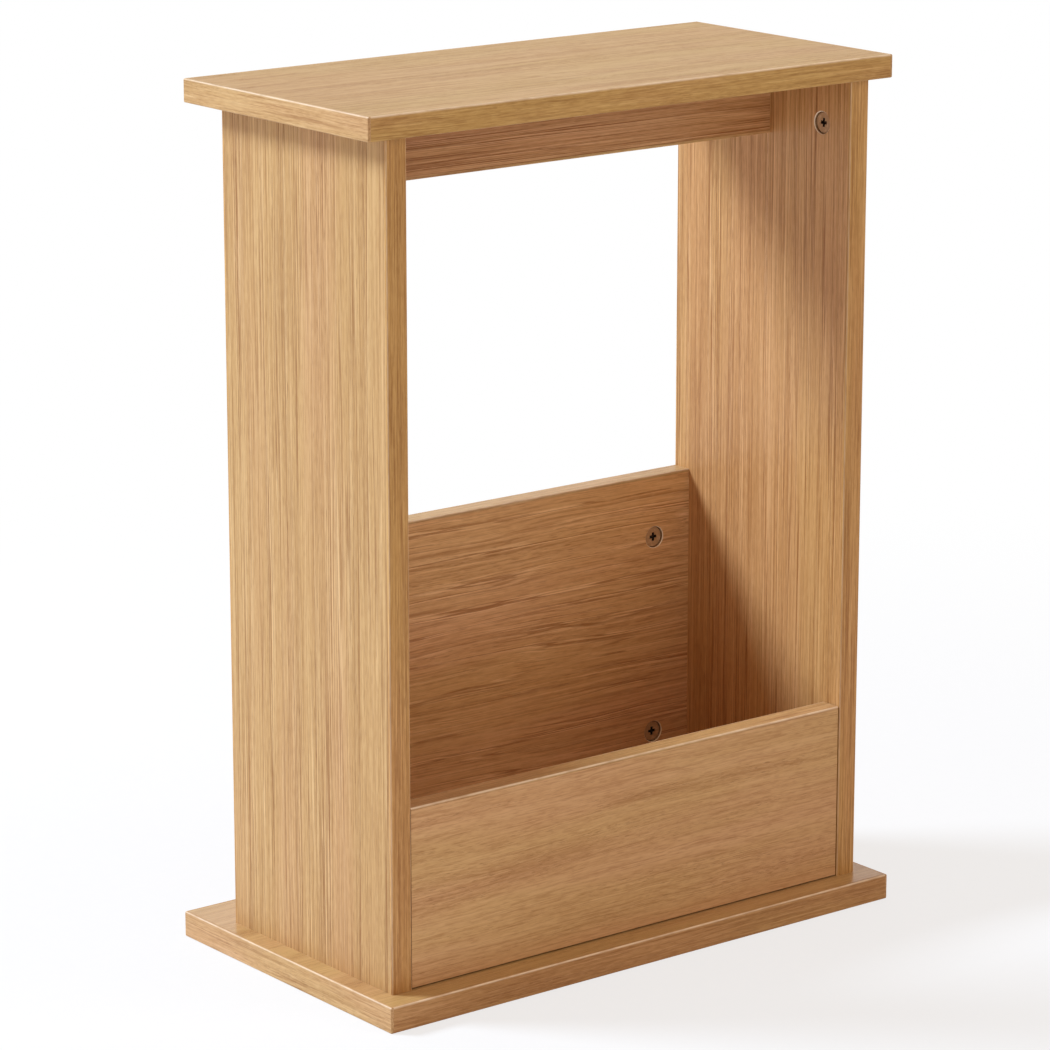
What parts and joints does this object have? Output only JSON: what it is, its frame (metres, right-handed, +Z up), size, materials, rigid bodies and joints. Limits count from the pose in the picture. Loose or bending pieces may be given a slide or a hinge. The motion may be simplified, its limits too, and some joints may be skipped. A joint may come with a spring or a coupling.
{
  "type": "magazine table",
  "caption": "Narrow side table of oak-faced boards with a flat top, an open front and a magazine rack low between its sides.",
  "frame": {"origin": "on the floor, below the middle of the base", "axes": "+X to the right as seen from the open front, +Y to the back, +Z up"},
  "size_m": [0.44, 0.241, 0.6],
  "materials": {
    "oak_lying": "satin oak face, grain left to right",
    "oak_upright": "satin oak face, grain upright",
    "oak_band": "satin oak edge band, grain along its length",
    "cam_metal": "bronze-toned die-cast metal",
    "bolt_steel": "zinc-plated steel",
    "dowel_wood": "plain beech"
  },
  "bodies": {
    "root": {"top_board": "oak_lying", "base_board": "oak_lying", "top_rail": "oak_lying", "rack_back_board": "oak_lying", "rack_front_board": "oak_lying", "left_side_board": "oak_upright", "right_side_board": "oak_upright", "top_front_band": "oak_band", "top_back_band": "oak_band", "top_left_band": "oak_band", "top_right_band": "oak_band", "base_front_band": "oak_band", "base_back_band": "oak_band", "base_left_band": "oak_band", "base_right_band": "oak_band", "left_side_front_band": "oak_band", "left_side_back_band": "oak_band", "right_side_front_band": "oak_band", "right_side_back_band": "oak_band", "top_rail_band": "oak_band", "rack_back_band": "oak_band", "rack_front_band": "oak_band", "top_cams": "cam_metal", "base_cams": "cam_metal", "rail_cams": "cam_metal", "rack_back_cams": "cam_metal", "rack_front_cams": "cam_metal", "top_bolts": "bolt_steel", "base_bolts": "bolt_steel", "rail_bolts": "bolt_steel", "rack_back_bolts": "bolt_steel", "rack_front_bolts": "bolt_steel", "top_dowels": "dowel_wood", "base_dowels": "dowel_wood", "rail_dowels": "dowel_wood", "rack_back_dowels": "dowel_wood", "rack_front_dowels": "dowel_wood"}
  },
  "joints": []
}
